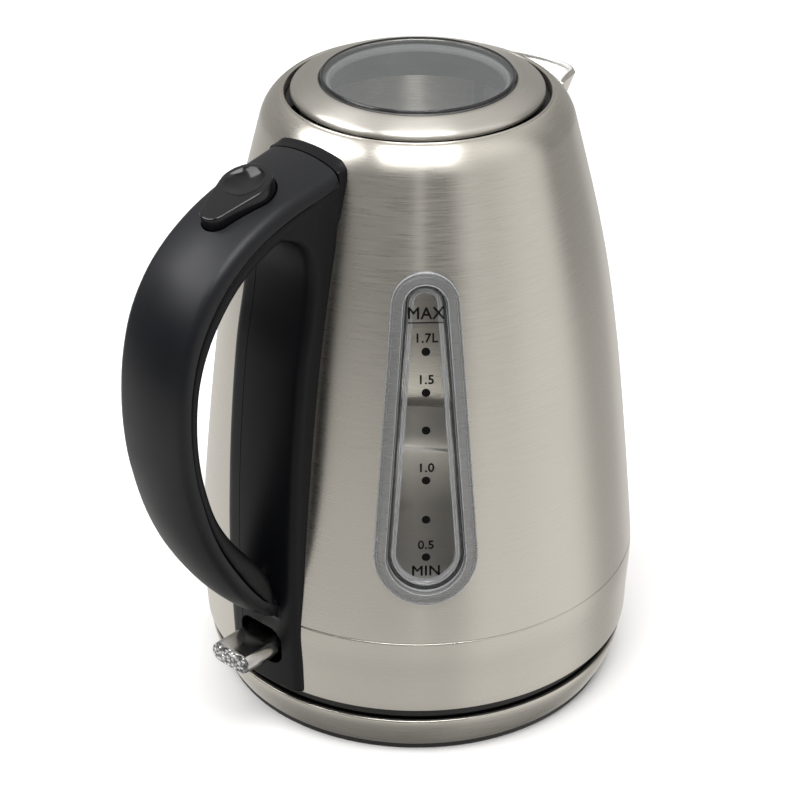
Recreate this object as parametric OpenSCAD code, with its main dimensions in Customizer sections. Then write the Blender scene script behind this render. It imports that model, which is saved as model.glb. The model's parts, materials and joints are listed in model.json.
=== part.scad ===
// Cordless electric kettle on a power base, in millimetres.
// +Z is up, the origin is the centre of the resting face, +X points to the spout, -X to the handle.

/* [Body] */
// Radius of the body at its widest, at the seam
body_r = 80; // [79:0.5:80.5]
// Height of the seam between the upper shell and the lower band
seam_z = 51; // [50.8:0.1:51.2]
// Thickness of the steel sheet
steel = 0.8; // [0.6:0.1:0.9]
// Radius of the opening that the lid closes
opening_r = 45.6; // [45.5:0.1:45.8]

/* [Power base] */
// Radius of the steel ring at its top
base_r = 77.5; // [77:0.5:78]
// Height of the power base
base_h = 15.5; // [15.3:0.1:15.6]
// Radius of the hole in the cord gland
cord_r = 3.5; // [3:0.25:3.75]

/* [Lid] */
// Radius of the lid's steel ring
lid_r = 43.6; // [43.2:0.1:43.6]
// Radius of the lid's window
window_r = 33.2; // [32.8:0.1:33.2]
// Height of the lid hinge's pin
hinge_z = 225; // [224.9:0.05:225.1]
// Distance of the lid hinge's pin behind the axis of the body
hinge_back = 37; // [36.9:0.05:37.1]

/* [Handle] */
// Half of the handle's width
grip_half = 15.8; // [15.2:0.2:16.4]
// Half of the width of the spine that carries the handle
spine_half = 17.2; // [17:0.1:17.4]
// Thickness of the plastic walls
plastic = 2.2; // [2:0.1:2.4]
// Travel of the lid release button
button_travel = 2.5; // [2:0.25:2.5]

/* [Gauge] */
// Direction of the water gauge round the body, in degrees from the spout
gauge_turn = -135; // [-140:1:-130]
// Height of the centre of the gauge's lower, wide end
gauge_low_z = 85; // [84:0.5:86]
// Height of the centre of the gauge's upper, narrow end
gauge_high_z = 175; // [173:0.5:175.5]

/* [Switch] */
// Height of the switch lever's pivot
switch_z = 38.3; // [38.1:0.1:38.5]
// Length of the lever outside its pivot
switch_len = 21.5; // [20:0.5:22]

/* [Hidden] */
$fn = 72;

band_low_z = 21.2;                       // lower edge of the steel band
rim_z = 225.2;                           // top of the shell round the lid
cut = 60;                                // length of cutting tools, longer than any wall is thick
side_steps = 14;                         // segments in the shell's side
shoulder_steps = 6;                      // segments in the shell's shoulder
curve_steps = 3;                         // segments between two points of the handle's curves

// Outer curves of the steel, as [radius, height]
side_bends = [[body_r, seam_z], [70.6, 156], [66.4, 168], [54.2, 215.5]];
shoulder_bends = [[54.2, 215.5], [53, 219.9], [50, 223.4], [46.7, rim_z]];
band_path = [[body_r - 1.1, band_low_z], [body_r - 0.6, 33.5], [body_r, 44], [body_r, seam_z - 0.4]];

// Handle's crown and inner face, as [distance behind the axis, height], paired station by station
crown_marks = [[55.6, 219.6], [68.4, 217.2], [81.5, 214.2], [95, 209], [106.6, 201.8],
    [115.7, 193], [123, 181.2], [127.6, 165.8], [129.3, 148.8], [128.5, 132.8], [125.8, 118.8],
    [121.3, 103.7], [114.3, 88.2], [104.7, 72.4], [95.2, 61.4], [86, 53.4]];
inner_marks = [[55.6, 203.4], [66.4, 203.2], [77.5, 200.6], [88.6, 196.4], [98.8, 190],
    [107, 181.6], [113.3, 171.7], [117.2, 160.2], [118.6, 146.8], [118, 133.8], [115.6, 121.4],
    [111.6, 109.2], [104.6, 97], [94, 83.5], [87.5, 73.2], [82.3, 58.6]];
// Crown of the spine's rear face, from its foot up
spine_marks = [[80.8, band_low_z], [81.6, 33], [82.3, 50], [82.5, 72], [81.8, 92], [79.6, 121],
    [75.8, 151], [71.6, 172], [68.6, 188], [67.2, 198], [67, 203]];

// Where the release button sits, and its tilt
button_at = [-81, 0, 213.8];
button_tilt = -17;
button_proud = 3.2;                      // height of the button over the handle's crown
spring_floor = -10.4;                    // seat of the button's spring under the crown

stud_turns = [0, 120, 240];              // the three studs under the vessel floor
stud_ring = 62;

function bezier(p, t) = pow(1 - t, 3) * p[0] + 3 * pow(1 - t, 2) * t * p[1]
    + 3 * (1 - t) * t * t * p[2] + pow(t, 3) * p[3];
function bezier_path(p, n) = [for (i = [0:n]) bezier(p, i / n)];
function tail(p) = [for (i = [1:len(p) - 1]) p[i]];
function reversed(p) = [for (i = [len(p) - 1:-1:0]) p[i]];
function side_of(p, i) = let (a = p[max(i - 1, 0)], b = p[min(i + 1, len(p) - 1)])
    [b[1] - a[1], a[0] - b[0]] / norm(b - a);
// A path moved sideways, outward when d is positive
function moved(p, d) = [for (i = [0:len(p) - 1]) p[i] + d * side_of(p, i)];
function spline(a, b, c, d, t) = 0.5 * (2 * b + (c - a) * t + (2 * a - 5 * b + 4 * c - d) * t * t
    + (3 * b - a - 3 * c + d) * t * t * t);
// A smooth curve through a list of points
function smooth(p) = let (last = len(p) - 1)
    concat([for (i = [0:last - 1]) for (j = [0:curve_steps - 1])
        spline(p[max(i - 1, 0)], p[i], p[i + 1], p[min(i + 2, last)], j / curve_steps)], [p[last]]);
function between(a, b, f) = [for (i = [0:len(a) - 1]) a[i] + (b[i] - a[i]) * f];
function from_station(p, s) = [for (i = [s * curve_steps:len(p) - 1]) p[i]];
// Outline of two circles and their outer tangents, the first circle above the second
function teardrop(high, r_high, low, r_low, n = 12) = let (lean = asin((r_low - r_high) / (high - low)))
    concat([for (i = [0:n]) let (a = lean + (180 - 2 * lean) * i / n)
            [r_high * cos(a), high + r_high * sin(a)]],
        [for (i = [0:n]) let (a = 180 - lean + (180 + 2 * lean) * i / n)
            [r_low * cos(a), low + r_low * sin(a)]]);
function stadium(w, h) = teardrop((w - h) / 2, h / 2, -(w - h) / 2, h / 2);

shell_path = concat(bezier_path(side_bends, side_steps),
    tail(bezier_path(shoulder_bends, shoulder_steps)));
grip_crown = smooth(crown_marks);
grip_under = smooth(inner_marks);
grip_split = between(grip_crown, grip_under, 0.5);
spine_crown = smooth(spine_marks);

// A ring or disc turned about Z
module turned(profile) {
    rotate_extrude() polygon(profile);
}

// A tube section about Z
module ring(r_out, r_in, z0, z1) {
    turned([[r_in, z0], [r_out, z0], [r_out, z1], [r_in, z1]]);
}

module rod(r, z0, z1) {
    translate([0, 0, z0]) cylinder(r = r, h = z1 - z0);
}

module block(low, high) {
    translate(low) cube(high - low);
}

// Everything inside the outer surface of the steel, grown by d
module body_mass(d = 0.05) {
    path = moved(concat(band_path, shell_path), d);
    turned(concat([[0, band_low_z - 1], [path[0][0], band_low_z - 1]], path, [[0, rim_z + 1]]), $fn = 240);
}

// A slab in the handle's plane between two paths, from a to b
module slab(a, b, half) {
    outline = concat([for (p = a) [-p[0], p[1]]], [for (p = reversed(b)) [-p[0], p[1]]]);
    rotate([90, 0, 0]) linear_extrude(2 * half, center = true) polygon(outline);
}

// The same slab with its outer face a crowned in three steps; a runs down the handle
module crowned(a, b, half) {
    slab(moved(a, 2.6), b, half);
    slab(moved(a, 1), b, half - 2);
    slab(a, b, half - 7);
}

// A prism that runs out along the gauge's own direction
module gauge_prism(grow) {
    rotate([0, 0, gauge_turn]) translate([30, 0, 0]) rotate([90, 0, 90]) linear_extrude(cut)
        polygon(teardrop(gauge_high_z, 6.2 + grow, gauge_low_z, 12.6 + grow));
}

// A layer that follows the shell from a inside to b outside its outer surface
module shell_layer(a, b) {
    turned(concat(moved(shell_path, b), reversed(moved(shell_path, a))));
}

// A coil of round wire about Z
module coil(r, wire, z0, z1, turns) {
    sides = 6;
    rings = 10 * turns;
    points = [for (i = [0:rings]) for (j = [0:sides - 1])
        let (a = 360 * turns * i / rings, b = 360 * j / sides, q = r + wire * cos(b))
        [q * cos(a), q * sin(a), z0 + wire + (z1 - z0 - 2 * wire) * i / rings + wire * sin(b)]];
    skin = [for (i = [0:rings - 1]) for (j = [0:sides - 1])
        let (k = (j + 1) % sides)
        each [[i * sides + j, (i + 1) * sides + j, i * sides + k],
            [i * sides + k, (i + 1) * sides + j, (i + 1) * sides + k]]];
    caps = [[for (j = [0:sides - 1]) j], [for (j = [sides - 1:-1:0]) rings * sides + j]];
    polyhedron(points, concat(skin, caps));
}

// ---- power base ----

module at_base_screws() {
    for (a = [30, 150, 270]) rotate([0, 0, a]) translate([50, 0, 0]) children();
}

module at_feet() {
    for (a = [45:90:315]) rotate([0, 0, a]) translate([62, 0, 0]) children();
}

module base_bottom() {
    color("dimgray") difference() {
        union() {
            rod(72.3, 0, 2.3);
            at_base_screws() rod(5, 2, 6);
        }
        at_feet() rod(6, -1, 1.2);
        at_base_screws() rod(3.2, -1, 3);
        at_base_screws() rod(1.5, 2, 7);
    }
}

module base_feet() {
    color("black") at_feet() rod(6, 0, 1.2);
}

module base_screws() {
    color("silver") at_base_screws() union() {
        rod(2.8, 1.4, 3);
        rod(1.5, 2.8, 12);
    }
}

module base_trim_ring() {
    outside = [[73, 2.3], [74.6, 5.5], [76, 9], [77, 12.5], [base_r, base_h - 0.6],
        [base_r - 0.3, base_h]];
    inside = [[base_r - 1.6, base_h], [base_r - 1.2, base_h - 1], [75.9, 12.5], [74.9, 9], [73.5, 5.5],
        [72, 3.1], [70.5, 3.1], [70.5, 2.3]];
    color("silver") difference() {
        turned(concat(outside, inside));
        translate([0, 0, 8.4]) rotate([-90, 0, 0]) cylinder(r = 5, h = 100);
    }
}

module base_cover() {
    color("dimgray") difference() {
        union() {
            turned([[19, 13.2], [75.2, 13.2], [75.8, 14.2], [75.8, 15], [70, 15], [70, base_h],
                [55, base_h], [55, 15], [19, 15]]);
            ring(20.6, 18.6, 7, 15);
            at_base_screws() rod(4, 6, 14);
        }
        at_base_screws() rod(1.5, 5, 12);
    }
}

module base_connector() {
    color("black") difference() {
        union() {
            rod(18.2, 2.3, 7);
            rod(11.5, 6, 26.5);
        }
        rod(2.6, 14, 30);
        ring(6.4, 4.6, 14, 30);
        ring(9.8, 8, 14, 30);
    }
}

module base_contacts() {
    color("gold") {
        ring(6.4, 6, 14, 25);
        ring(9.8, 9.4, 14, 25);
    }
}

module cord_gland() {
    color("black") difference() {
        translate([0, 68, 8.4]) rotate([-90, 0, 0]) cylinder(r = 4.7, h = 8);
        translate([0, 60, 8.4]) rotate([-90, 0, 0]) cylinder(r = cord_r, h = 30);
    }
}

// ---- connector that plugs over the tower ----

module jug_connector() {
    color("black") {
        difference() {
            rod(14, 16.2, 30);
            rod(12, 15, 27.3);
        }
        rod(2.1, 19, 28);
    }
}

module connector_contacts() {
    color("gold") {
        ring(5.4, 5, 18, 27.3);
        ring(8.8, 8.4, 18, 27.3);
    }
}

// ---- underside of the jug ----

module at_studs() {
    for (a = stud_turns) rotate([0, 0, a]) translate([stud_ring, 0, 0]) children();
}

module jug_base() {
    color("black") difference() {
        union() {
            turned([[14.6, 16], [55, 16], [55, base_h], [70, base_h], [70, 16], [75.2, 16],
                [75.8, 16.8], [75.8, 21.6], [77.8, 21.6], [77.8, 26], [75.6, 26], [75.6, 22.8],
                [73.8, 22.8], [73.8, 18], [14.6, 18]]);
            ring(16.8, 14.6, 17, 25);
            at_studs() rod(4.2, 17, 30);
        }
        at_studs() rod(3.1, 15, 18.4);
        at_studs() rod(1.5, 15, 31);
    }
}

module jug_base_screws() {
    color("silver") at_studs() union() {
        rod(2.8, 16.6, 18.4);
        rod(1.5, 18, 40);
    }
}

module lower_band() {
    color("silver") difference() {
        turned(concat(band_path, reversed(moved(band_path, -steel))));
        block([-90, -13.4, 28.5], [-60, 13.4, 49.2]);
    }
}

module vessel_floor() {
    color("silver") difference() {
        union() {
            turned([[70, 50.6], [body_r - 1, 50.6], [body_r - 1, 51.2], [75, 51.2], [75, 57], [0, 57],
                [0, 56.2], [74.2, 56.2], [74.2, 51.2], [70, 51.2]]);
            at_studs() rod(3.6, 30, 56.6);
        }
        at_studs() rod(1.5, 29, 45);
        translate([-50, 0, 0]) rod(4.5, 50, 60);
    }
}

module diffuser_plate() {
    color("lightgray") rod(44, 53.2, 56.2);
}

// A ring element with a flat top against the plate and two terminal legs
module heating_element() {
    color("gray") {
        difference() {
            rotate([0, 0, 200]) rotate_extrude(angle = 320) translate([36, 50.4]) circle(r = 3.6);
            rod(60, 53.2, 56);
        }
        for (a = [200, 160]) rotate([0, 0, a]) translate([36, 0, 0]) rod(2.4, 40, 48);
    }
}

module thermostat_control() {
    color("ivory") difference() {
        union() {
            block([-23, -17, 31], [23, 17, 42]);
            for (x = [-13, 13]) translate([x, 0, 0]) rod(8, 41, 50);
            for (a = [60, 180, 300]) rotate([0, 0, a]) {
                translate([26, 0, 0]) rod(4, 36, 53.2);
                block([10, -3, 36], [25, 3, 41]);
            }
        }
        for (a = [60, 180, 300]) rotate([0, 0, a]) translate([26, 0, 0]) rod(1.5, 30, 55);
    }
}

module snap_discs() {
    color("gold") for (x = [-13, 13]) translate([x, 0, 0]) rod(9, 50, 50.5);
}

module control_screws() {
    color("silver") for (a = [60, 180, 300]) rotate([0, 0, a]) translate([26, 0, 0]) union() {
        rod(2.8, 34.2, 36);
        rod(1.5, 35, 53);
    }
}

// Carries steam from under the lid down to the switch
module steam_tube() {
    color("white") translate([-50, 0, 0]) ring(4.5, 3.3, 47, 205);
}

module steam_bimetal() {
    color("ivory") difference() {
        union() {
            block([-58, -9, 34], [-43, 9, 42]);
            translate([-50, 0, 0]) ring(7, 5.6, 40, 46.5);
        }
        translate([-50, 0, 0]) rod(5.6, 40, 50);
    }
}

// ---- steel vessel ----

// The space inside the spout, or its outside when grow is the thickness of the sheet
module spout_form(grow) {
    hull() {
        translate([45, 0, 219.5]) cube([1, 2 * (24.6 + grow), 3], center = true);
        translate([57 + grow, 0, 217.4]) cylinder(r = 12.6, h = 2, $fn = 32);
        for (y = [-1, 1]) translate([60.6, y * (8.6), 216]) cylinder(r = 6.2 + grow, h = 2, $fn = 32);
        translate([66.4, 0, 214.8]) cylinder(r = 4.4 + grow, h = 2, $fn = 32);
        translate([54, 0, 193.4 - grow]) sphere(r = 4 + grow, $fn = 32);
    }
}

module body_shell() {
    lip = [[opening_r + 0.3, rim_z + 0.1], [opening_r, rim_z - 0.4], [opening_r, 219.5],
        [opening_r + steel, 219.5], [opening_r + steel, rim_z - 1.6]];
    inside = [for (p = moved(shell_path, -steel)) if (p[0] > opening_r + steel + 0.7) p];
    color("silver") difference() {
        turned(concat(shell_path, lip, reversed(inside)));
        gauge_prism(1.2);
        intersection() {
            spout_form(0);
            block([48, -30, 190], [90, 30, 218.4]);
        }
        block([-60, -4.2, 208.2], [-50, 4.2, 211.8]);
    }
}

module spout() {
    color("silver") difference() {
        intersection() {
            spout_form(steel);
            multmatrix([[1, 0, 0, 0], [0, 1, 0, 0], [-0.27, 0, 1, 0], [0, 0, 0, 1]])
                block([40, -40, 180], [90, 40, 232.6]);
        }
        spout_form(0);
        body_mass(0);
    }
}

module gauge_window() {
    color("lightcyan", 0.4) intersection() {
        gauge_prism(0.6);
        shell_layer(-3.4, 0.9);
    }
}

module gauge_seal() {
    color("white") difference() {
        intersection() {
            gauge_prism(3.6);
            shell_layer(-2.8, -steel - 0.05);
        }
        gauge_prism(0.8);
    }
}

module gauge_frame() {
    color("lightgray", 0.6) difference() {
        intersection() {
            gauge_prism(5.3);
            shell_layer(0.05, 1.9);
        }
        gauge_prism(0.9);
    }
}

// Ear of the lid hinge, hollowed at the back for the edge of the open lid
module hinge_ear(y) {
    column = [[-1.7, -0.8], [-0.9, -3], [0.2, -4.6], [0.2, -12], [3.4, -12], [3.4, -5], [1.7, -0.8]];
    translate([-hinge_back, y, hinge_z]) rotate([-90, 0, 0]) cylinder(r = 1.9, h = 2.5);
    translate([-hinge_back, y + 2.5, hinge_z]) rotate([90, 0, 0]) linear_extrude(2.5) polygon(column);
}

// Plastic ring inside the opening, with the ears of the lid hinge
module lid_collar() {
    color("black") {
        difference() {
            turned([[40.6, 213], [45.3, 213], [45.3, 217.4], [47.3, 217.4], [47.3, 219.3],
                [45.3, 219.3], [45.3, 221.5], [40.6, 221.5]]);
            block([-60, -26, 217.2], [-30, 26, 230]);
            block([-60, -4.4, 210], [-36, 4.4, 230]);
        }
        difference() {
            for (y = [-11.7, 9.2]) {
                hinge_ear(y);
                block([-44, y, 213], [-hinge_back + 3.4, y + 2.5, 216.5]);
            }
            translate([-hinge_back, -20, hinge_z]) rotate([-90, 0, 0]) cylinder(r = 1, h = 40);
        }
    }
}

module lid_hinge_pin() {
    color("silver") translate([-hinge_back, -11.7, hinge_z]) rotate([-90, 0, 0])
        cylinder(r = 1, h = 23.4);
}

// Torsion spring that lifts the lid when it is released
module lid_spring() {
    color("silver") translate([-hinge_back, 5.2, hinge_z]) rotate([-90, 0, 0])
        coil(1.5, 0.3, 0, 3.6, 4);
}

// ---- handle ----

// Way for the lid latch from the handle into the body
module latch_slot() {
    block([-80, -4.6, 208], [-40, 4.6, 212]);
}

// Space for the switch lever's swing
module lever_space() {
    block([-95, -10, 31], [-60, 10, 46.5]);
}

module spine_solid() {
    core = [[50, band_low_z], [50, 209.8], [67, 209.8]];
    slab(concat(moved(spine_crown, -3), [[67, 209.8]]), core, spine_half);
    slab(concat(moved(spine_crown, -1.2), [[67, 209.8]]), core, spine_half - 3);
    slab(concat(spine_crown, [[67, 209.8]]), core, spine_half - 8);
}

// Hollow between the body and the spine's rear wall
module spine_space() {
    rear = [for (p = moved(spine_crown, -plastic)) if (p[1] > 54 && p[1] < 196) p];
    slab(rear, [[50, 54], [50, 196]], 8.6);
}

module handle_spine() {
    color("dimgray") difference() {
        union() {
            difference() {
                spine_solid();
                body_mass();
                lever_space();
                spine_space();
            }
            for (y = [-12.9, 10.3]) block([-78, y, 33], [-72, y + 2.6, 44]);
            for (y = [-12.9, 10.3]) block([-81.4, y, 33], [-77, y + 2.6, 44]);
        }
        translate([-75, -20, switch_z]) rotate([-90, 0, 0]) cylinder(r = 1.25, h = 40);
        latch_slot();
        for (z = [60, 66]) translate([-90, 0, z]) rotate([0, 90, 0]) cylinder(r = 1.4, h = 9);
    }
}

module handle_cap() {
    top = [[51, 221.4], [53.2, 220.2], [55.2, 219.2]];
    color("dimgray") difference() {
        crowned(top, [[51, 209.9], [55.2, 209.9]], grip_half + 0.4);
        body_mass();
        latch_slot();
    }
}

module button_frame() {
    translate(button_at) rotate([0, button_tilt, 0]) children();
}

// Teardrop prism about the button, its small end away from the lid
module button_prism(grow, low, high) {
    translate([0, 0, low]) linear_extrude(high - low) rotate([0, 0, -90])
        polygon(teardrop(0, 9.4 + grow, -14.2, 5.2 + grow));
}

// Narrows the foot of the handle where it meets the spine
module foot_wedges() {
    for (s = [-1, 1]) translate([0, 0, 40]) linear_extrude(62) polygon([[-76, s * 9], [-82, s * 9.5],
        [-85, s * 11.5], [-90, s * 13], [-98, s * 14.6], [-108, s * (grip_half + 0.5)],
        [-108, s * 30], [-76, s * 30]]);
}

module handle_outer() {
    color("dimgray") difference() {
        crowned(grip_crown, grip_split, grip_half);
        slab(moved(grip_crown, plastic + 1), moved(grip_split, 1), grip_half - plastic - 0.6);
        body_mass();
        foot_wedges();
        button_frame() button_prism(0.5, -8, 8);
        block([-67, -cut, 190], [-40, cut, 209.8]);
        spine_solid();
    }
}

module handle_inner() {
    start = 1;
    split = from_station(grip_split, start);
    under = from_station(grip_under, start);
    color("dimgray") difference() {
        union() {
            difference() {
                slab(split, under, grip_half);
                slab(moved(split, -1), moved(under, -plastic), grip_half - plastic - 0.6);
            }
            intersection() {
                button_frame() rod(4.4, -14, spring_floor);
                slab(split, under, grip_half);
            }
        }
        foot_wedges();
        spine_solid();
        latch_slot();
        for (z = [60, 66]) translate([-95, 0, z]) rotate([0, 90, 0]) cylinder(r = 1.4, h = 30);
    }
}

module handle_screws() {
    color("silver") for (z = [60, 66]) translate([0, 0, z]) rotate([0, 90, 0]) rod(1.4, -86, -81.2);
}

// ---- switch ----

module switch_pivot_pin() {
    color("silver") translate([-75, -12.9, switch_z]) rotate([-90, 0, 0]) cylinder(r = 1.25, h = 25.8);
}

// A prism of stadium outline that runs along X
module lever_bar(w, h, x0, x1) {
    translate([x0, 0, switch_z]) rotate([90, 0, 90]) linear_extrude(x1 - x0)
        rotate([0, 0, 90]) polygon(stadium(w, h));
}

module switch_lever() {
    end = -75 - switch_len;
    color("silver") difference() {
        union() {
            lever_bar(18, 7.6, end, -75);
            translate([-75, -9, switch_z]) rotate([-90, 0, 0]) cylinder(r = 3.6, h = 18);
            block([-76, -3.6, switch_z - 1.4], [-64, 3.6, switch_z + 1.4]);
        }
        lever_bar(14.4, 4.6, end - 1, end + 9);
        translate([-75, -20, switch_z]) rotate([-90, 0, 0]) cylinder(r = 1.3, h = 40);
    }
}

module switch_lens() {
    end = -75 - switch_len;
    color("lightcyan", 0.5) union() {
        lever_bar(14.2, 4.4, end, end + 3);
        lever_bar(17.4, 7, end - 1.6, end);
    }
}

module switch_lamp() {
    end = -75 - switch_len;
    color("orange") translate([end + 3.2, 0, switch_z]) rotate([0, 90, 0]) cylinder(r = 1.5, h = 5);
}

// Rod that the lever lifts to trip the thermostat
module switch_link() {
    color("white") union() {
        block([-68, -3, switch_z + 1.9], [-64.6, 3, 47]);
        block([-68, -1.2, 44], [-61, 1.2, 47]);
    }
}

// ---- lid ----

ring_out = [[34, 229.3], [38, 228.6], [41.4, 227.6], [43.1, 226.6], [lid_r, 225.6], [lid_r, 224.4]];
ring_in = [[34, 228.6], [37.8, 227.9], [41, 226.9], [42.4, 226.1], [lid_r - 0.7, 225.4],
    [lid_r - 0.7, 224.4]];

module lid_ring() {
    color("silver") turned(concat(ring_out, reversed(ring_in)));
}

module lid_window() {
    color("lightgray", 0.4) turned([[0, 228.6], [window_r - 1.6, 228.6], [window_r - 1.6, 226.4],
        [window_r, 226.4], [window_r, 229.9], [window_r - 0.8, 230.5], [20, 230.9], [0, 231]]);
}

module lid_window_gasket() {
    color("black") ring(window_r - 1.7, window_r - 3, 226.4, 228.5);
}

// Knuckle of the lid hinge from y0 to y1, joined to the frame in front of it
module lid_knuckle(y0, y1) {
    translate([-hinge_back, y0, hinge_z]) rotate([-90, 0, 0]) cylinder(r = 1.9, h = y1 - y0);
    block([-hinge_back - 1.2, y0, hinge_z], [-hinge_back + 3.5, y1, 227.2]);
}

module lid_frame() {
    skirt = [[39.8, 223.6], [39.6, 217.6], [38.2, 217.6], [38, 222.6], [33, 223], [29.6, 223],
        [29.6, 226.3], [33.4, 226.3]];
    color("black") difference() {
        union() {
            difference() {
                turned(concat([[33.4, 228.5]], tail(ring_in), skirt));
                block([-60, -13.4, 210], [-30, 13.4, 222.8]);
                block([-60, -12.1, 210], [-hinge_back + 2.8, 12.1, 230]);
            }
            lid_knuckle(-8.7, -0.6);
            lid_knuckle(2.6, 4.8);
        }
        translate([-hinge_back, -20, hinge_z]) rotate([-90, 0, 0]) cylinder(r = 1.06, h = 40);
        at_lid_screws() rod(1.1, 220, 226.8);
    }
}

module at_lid_screws() {
    for (a = [60:60:300]) if (a != 180) rotate([0, 0, a]) translate([35.6, 0, 0]) children();
}

module lid_seal() {
    color("gray") difference() {
        ring(39.95, 39.7, 218, 219.6);
        block([-60, -13.4, 210], [-30, 13.4, 222.8]);
    }
}

module lid_screws() {
    color("silver") at_lid_screws() union() {
        rod(2, 221, 222.5);
        rod(1.1, 222, 226.8);
    }
}

// ---- lid release ----

module release_button() {
    color("black") button_frame() difference() {
        union() {
            button_prism(0, -3.6, button_proud);
            rod(2, spring_floor + button_travel + 0.5, -3);
        }
        translate([0, 0, button_proud + 17.4]) sphere(r = 19);
    }
}

module button_spring() {
    color("silver") button_frame() coil(3, 0.45, spring_floor, -3.6, 4);
}

// Bar that reaches from the button to the rim of the lid
module lid_latch() {
    color("white") {
        block([-67.4, -3.5, 208.8], [-47.8, 3.5, 211.2]);
        block([-50, -3.5, 211], [-47.8, 3.5, 214.8]);
        block([-49, -3.5, 212.8], [-44.5, 3.5, 214.8]);
    }
}

// ---- spout filter ----

module filter_frame() {
    color("dimgray") difference() {
        block([48.6, -17, 190], [50.8, 17, 210.6]);
        for (s = [-1, 1]) translate([49.7, s * 7.5, 200.2]) cube([6, 12, 16], center = true);
    }
}

module filter_mesh() {
    color("lightgray") for (s = [-1, 1]) translate([49.7, s * 7.5, 200.2])
        cube([0.5, 12, 16], center = true);
}

base_bottom();
base_feet();
base_screws();
base_trim_ring();
base_cover();
base_connector();
base_contacts();
cord_gland();
jug_connector();
connector_contacts();
jug_base();
jug_base_screws();
lower_band();
vessel_floor();
diffuser_plate();
heating_element();
thermostat_control();
snap_discs();
control_screws();
steam_tube();
steam_bimetal();
body_shell();
spout();
gauge_window();
gauge_seal();
gauge_frame();
lid_collar();
lid_hinge_pin();
lid_spring();
handle_spine();
handle_cap();
handle_outer();
handle_inner();
handle_screws();
switch_pivot_pin();
filter_frame();
filter_mesh();
lid_ring();
lid_window();
lid_window_gasket();
lid_frame();
lid_seal();
lid_screws();
release_button();
button_spring();
lid_latch();
switch_lever();
switch_lens();
switch_lamp();
switch_link();
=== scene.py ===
"""An electric kettle on its power base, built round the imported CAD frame.
Shapes are given in millimetres: X runs to the spout, Z up. "back" is a distance behind the body's axis."""
import json
import math

import bmesh
import bpy
from mathutils import Matrix, Vector, noise


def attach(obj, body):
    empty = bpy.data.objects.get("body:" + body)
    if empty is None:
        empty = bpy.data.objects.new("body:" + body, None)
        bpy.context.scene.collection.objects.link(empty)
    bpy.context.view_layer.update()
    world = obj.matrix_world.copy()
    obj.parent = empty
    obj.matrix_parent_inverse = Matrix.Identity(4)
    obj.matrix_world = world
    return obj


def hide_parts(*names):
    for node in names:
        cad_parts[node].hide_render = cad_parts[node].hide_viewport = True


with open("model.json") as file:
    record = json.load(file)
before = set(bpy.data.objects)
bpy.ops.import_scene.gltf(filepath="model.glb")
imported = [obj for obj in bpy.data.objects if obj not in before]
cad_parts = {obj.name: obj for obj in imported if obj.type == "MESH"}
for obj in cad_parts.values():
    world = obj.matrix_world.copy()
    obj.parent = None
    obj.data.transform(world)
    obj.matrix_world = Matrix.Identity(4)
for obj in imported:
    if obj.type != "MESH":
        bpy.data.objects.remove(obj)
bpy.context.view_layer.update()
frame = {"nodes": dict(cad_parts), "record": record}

MM = 0.001
SEAM_Z = 51.0                    # where the upper shell meets the lower band
BAND_LOW_Z = 21.2
RIM_Z = 225.2
STEEL = 0.8                      # thickness of the sheet
OPENING_R = 45.6                 # the opening under the lid
GAUGE_TURN = math.radians(-135)
GAUGE_HIGH_Z, GAUGE_HIGH_R = 175.0, 6.2
GAUGE_LOW_Z, GAUGE_LOW_R = 85.0, 12.6
SWITCH_Z = 38.3
BUTTON_AT = Vector((-81, 0, 213.8))
BUTTON_TILT = math.radians(-17)

# ---------------------------------------------------------------- curves


def bezier(p, t):
    u = 1 - t
    return tuple(u ** 3 * a + 3 * u * u * t * b + 3 * u * t * t * c + t ** 3 * d for a, b, c, d in zip(*p))


def arc(r, start, turn, steps, across=0.0, up=0.0):
    """Points about (across, up), from the angle start through turn."""
    angles = [start + turn * i / steps for i in range(steps + 1)]
    return [(across + r * math.cos(a), up + r * math.sin(a)) for a in angles]


def circle(r, steps, across=0.0, up=0.0):
    return arc(r, 0, 2 * math.pi, steps, across, up)[:-1]


def smooth(points, steps=4):
    """A Catmull-Rom curve through a list of points."""
    last = len(points) - 1
    out = []
    for i in range(last):
        a, b, c, d = points[max(i - 1, 0)], points[i], points[i + 1], points[min(i + 2, last)]
        for j in range(steps):
            t = j / steps
            out.append(tuple(0.5 * (2 * q + (r - p) * t + (2 * p - 5 * q + 4 * r - s) * t * t
                                    + (3 * q - p - 3 * r + s) * t ** 3) for p, q, r, s in zip(a, b, c, d)))
    return out + [tuple(points[last])]


def follow(table, x):
    """Piecewise linear value of a table of (x, value) at x."""
    if x <= table[0][0]:
        return table[0][1]
    for (x0, y0), (x1, y1) in zip(table, table[1:]):
        if x <= x1:
            return y0 + (y1 - y0) * (x - x0) / (x1 - x0)
    return table[-1][1]


def rounded(corners, steps=5):
    """A closed outline whose corners, each (x, y, radius), are arcs."""
    out = []
    for i, (x, y, r) in enumerate(corners):
        here = Vector((x, y))
        before = Vector(corners[i - 1][:2]) - here
        after = Vector(corners[(i + 1) % len(corners)][:2]) - here
        if r <= 0:
            out.append((x, y))
            continue
        half = before.angle(after) / 2
        reach = min(r / math.tan(half), 0.48 * before.length, 0.48 * after.length)
        a, b = before.normalized(), after.normalized()
        centre = here + (a + b).normalized() * reach / math.cos(half)
        s, e = here + a * reach - centre, here + b * reach - centre
        turn = math.atan2(s.x * e.y - s.y * e.x, s.dot(e))
        for k in range(steps + 1):
            p = centre + Matrix.Rotation(turn * k / steps, 2) @ s
            out.append((p.x, p.y))
    return out


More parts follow.
